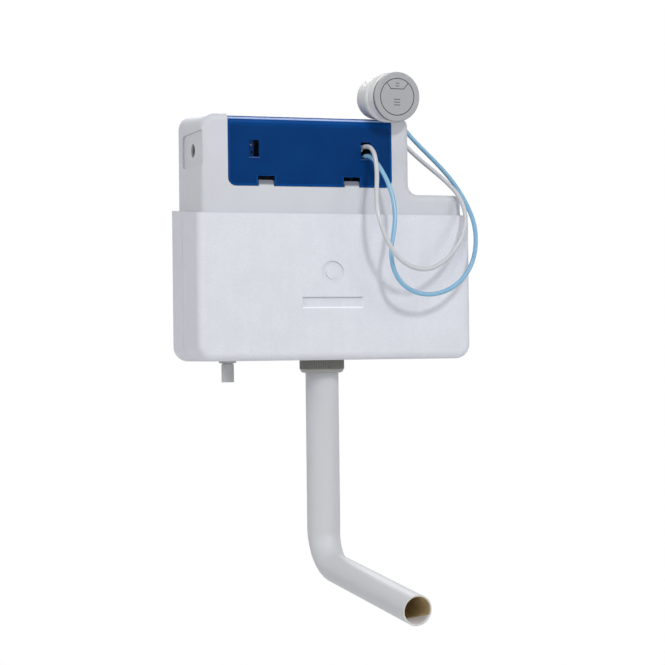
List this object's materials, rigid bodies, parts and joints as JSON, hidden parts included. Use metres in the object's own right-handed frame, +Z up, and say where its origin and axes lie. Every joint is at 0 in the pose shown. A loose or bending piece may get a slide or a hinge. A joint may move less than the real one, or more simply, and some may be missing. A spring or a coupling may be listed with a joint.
{
  "type": "toilet cistern",
  "caption": "Concealed toilet cistern with insulating jacket, access cover, bent flush pipe and an air-operated two-part flush button.",
  "frame": {"origin": "midway between the two wall fixing holes, on the plane of the wall behind the cistern", "axes": "+X to the right seen from the front, +Y into the wall, +Z up"},
  "size_m": [0.3853, 0.3579, 0.7047],
  "materials": {
    "foam_white": "fine-grained expanded foam",
    "tank_grey": "satin blow-moulded plastic",
    "cover_blue": "satin moulded plastic",
    "pipe_white": "satin",
    "nut_grey": "fine ribbed, satin",
    "tail_grey": "satin",
    "valve_white": "satin",
    "valve_grey": "satin",
    "valve_blue": "satin",
    "rubber_black": "matt",
    "rubber_grey": "matt",
    "button_satin": "satin, metal-look",
    "barrel_white": "satin",
    "spring_steel": "drawn wire",
    "tube_blue": "soft, clear",
    "tube_white": "soft, clear"
  },
  "bodies": {
    "cistern": {"tank": "tank_grey", "insulation_front": "foam_white", "insulation_rear": "foam_white", "access_cover": "cover_blue", "fill_valve_body": "tail_grey", "inlet_washer": "rubber_black", "inlet_backnut": "nut_grey", "inlet_filter": "valve_white", "fill_valve_head": "valve_white", "fill_valve_diaphragm": "rubber_grey", "fill_valve_cap": "valve_grey", "float_lever_pin": "valve_grey", "flush_valve_base": "valve_white", "outlet_washer": "rubber_black", "outlet_backnut": "nut_grey", "flush_pipe_nut": "nut_grey", "flush_pipe_seal": "rubber_black", "flush_pipe": "pipe_white", "flush_valve_cage": "valve_white", "lifter_housing": "valve_grey", "full_flush_bellows": "rubber_black", "half_flush_bellows": "rubber_black", "button_bezel": "button_satin", "button_gasket": "rubber_black", "button_clamp_nut": "barrel_white", "button_barrel": "barrel_white", "button_end_cap": "barrel_white", "full_flush_pump": "rubber_black", "half_flush_pump": "rubber_black", "full_flush_spring": "spring_steel", "half_flush_spring": "spring_steel", "air_tube_blue": "tube_blue", "air_tube_white": "tube_white"},
    "plunger": {"overflow_tube": "valve_blue", "overflow_crown": "valve_grey", "flush_seal": "rubber_grey", "seal_retainer": "valve_grey", "flush_float": "valve_white"},
    "float": {"fill_float": "valve_white", "float_adjusting_rod": "valve_grey"},
    "lever": {"float_lever": "valve_blue"},
    "full_lifter": {"full_flush_lifter": "valve_blue"},
    "half_lifter": {"half_flush_lifter": "valve_white"},
    "full_button": {"full_flush_button": "button_satin"},
    "half_button": {"half_flush_button": "button_satin"}
  },
  "joints": [
    {"name": "plunger_lift", "type": "slide", "parent": "cistern", "child": "plunger", "axis": [0, 0, 1], "range_m": [0, 0.014]},
    {"name": "full_lifter_rise", "type": "slide", "parent": "cistern", "child": "full_lifter", "axis": [0, 0, 1], "range_m": [0, 0.014], "deforming": ["full_flush_bellows"]},
    {"name": "full_button_press", "type": "slide", "parent": "cistern", "child": "full_button", "axis": [-0.0678, 0.9942, 0.0837], "range_m": [0, 0.007], "stiffness_N_per_m": 600, "springref_m": -0.003, "deforming": ["full_flush_pump", "full_flush_spring"]},
    {"name": "half_button_press", "type": "slide", "parent": "cistern", "child": "half_button", "axis": [-0.0678, 0.9942, 0.0837], "range_m": [0, 0.007], "stiffness_N_per_m": 600, "springref_m": -0.003, "deforming": ["half_flush_pump", "half_flush_spring"]},
    {"name": "half_lifter_rise", "type": "slide", "parent": "cistern", "child": "half_lifter", "axis": [0, 0, 1], "range_m": [0, 0.007], "deforming": ["half_flush_bellows"]},
    {"name": "float_rise", "type": "slide", "parent": "cistern", "child": "float", "axis": [0, 0, 1], "range_m": [0, 0.0111]},
    {"name": "lever_turn", "type": "hinge", "parent": "cistern", "child": "lever", "pos_m": [-0.152, -0.069, -0.027], "axis": [0, -1, 0], "range_deg": [0, 16]}
  ],
  "couplings": [
    {"joint": "full_lifter_rise", "follows": "plunger_lift", "ratio": 1},
    {"joint": "full_button_press", "follows": "plunger_lift", "ratio": 0.5},
    {"joint": "half_lifter_rise", "follows": "half_button_press", "ratio": 1},
    {"joint": "lever_turn", "follows": "float_rise", "rad_per_m": 25}
  ]
}
